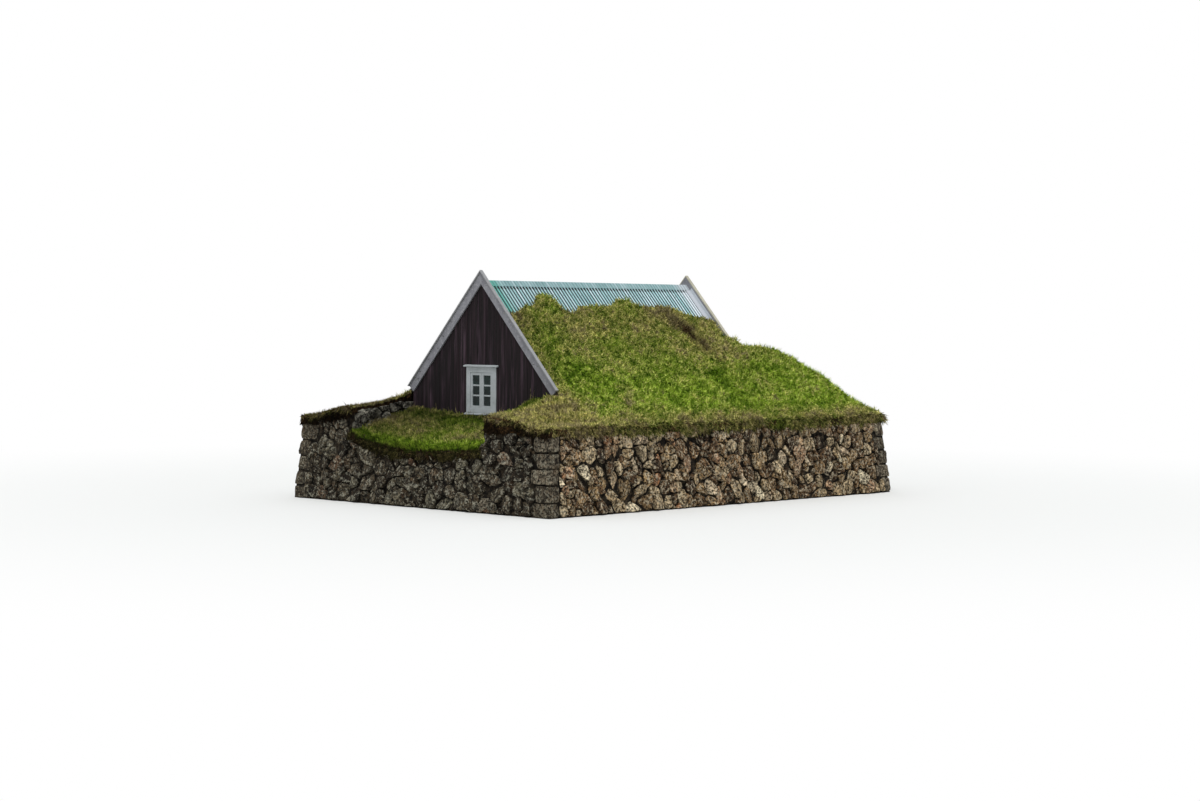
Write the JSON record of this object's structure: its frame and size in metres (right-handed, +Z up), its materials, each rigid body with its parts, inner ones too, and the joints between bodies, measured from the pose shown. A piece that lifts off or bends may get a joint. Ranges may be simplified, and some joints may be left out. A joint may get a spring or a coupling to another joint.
{
  "type": "turf house",
  "caption": "Turf house with battered rubble stone walls, turf banked up a steep corrugated-iron roof, dark boarded gables with grey barge boards, and a white casement window.",
  "frame": {"origin": "on the ground, at the middle of the plan over the feet of the stone walls", "axes": "+Z up, +Y along the ridge from the window gable to the door gable, +X to the right as seen facing the window gable"},
  "size_m": [6.36, 8.96, 4.01],
  "materials": {
    "rubble_stone": "rough dark basalt rubble with lichen",
    "flagstone": "worn",
    "floor_timber": "bare boards",
    "frame_timber": "sawn",
    "corrugated_iron": "weathered pale teal paint",
    "verge_flashing": "fresh green paint",
    "tarred_boards": "tarred vertical boards",
    "barge_paint": "weathered grey paint",
    "cap_paint": "cream paint",
    "white_joinery": "white gloss paint",
    "window_glass": "clear, dark behind",
    "black_iron": "blackened",
    "turf": "earth and roots grown over with rough grass",
    "dry_turf": "earth and roots grown over with dry grass"
  },
  "bodies": {
    "root": {"left_wall": "rubble_stone", "right_wall": "rubble_stone", "front_wall": "rubble_stone", "rear_left_wall": "rubble_stone", "rear_right_wall": "rubble_stone", "floor_sleepers": "floor_timber", "floor_boards": "floor_timber", "wall_plates": "frame_timber", "rafters": "frame_timber", "ridge_board": "frame_timber", "collars": "frame_timber", "left_roof_boards": "frame_timber", "right_roof_boards": "frame_timber", "left_iron_sheets": "corrugated_iron", "right_iron_sheets": "corrugated_iron", "ridge_cap": "corrugated_iron", "front_flashings": "verge_flashing", "rear_flashings": "verge_flashing", "front_gable_frame": "frame_timber", "rear_gable_frame": "frame_timber", "front_gable_boards": "tarred_boards", "rear_gable_boards": "tarred_boards", "front_left_barge_board": "barge_paint", "front_right_barge_board": "barge_paint", "rear_left_barge_board": "barge_paint", "rear_right_barge_board": "barge_paint", "front_barge_caps": "cap_paint", "rear_barge_caps": "cap_paint", "window_casing": "white_joinery", "window_drip_board": "white_joinery", "window_sill": "white_joinery", "left_casement": "white_joinery", "right_casement": "white_joinery", "window_glass": "window_glass", "door_leaf": "tarred_boards", "door_casing": "white_joinery", "door_threshold": "flagstone", "door_ironwork": "black_iron", "left_turf_bank": "turf", "right_turf_bank": "turf", "front_turf_bank": "turf", "left_arm_turf": "dry_turf", "right_arm_turf": "dry_turf", "rear_left_turf": "turf", "rear_right_turf": "turf"}
  },
  "joints": []
}
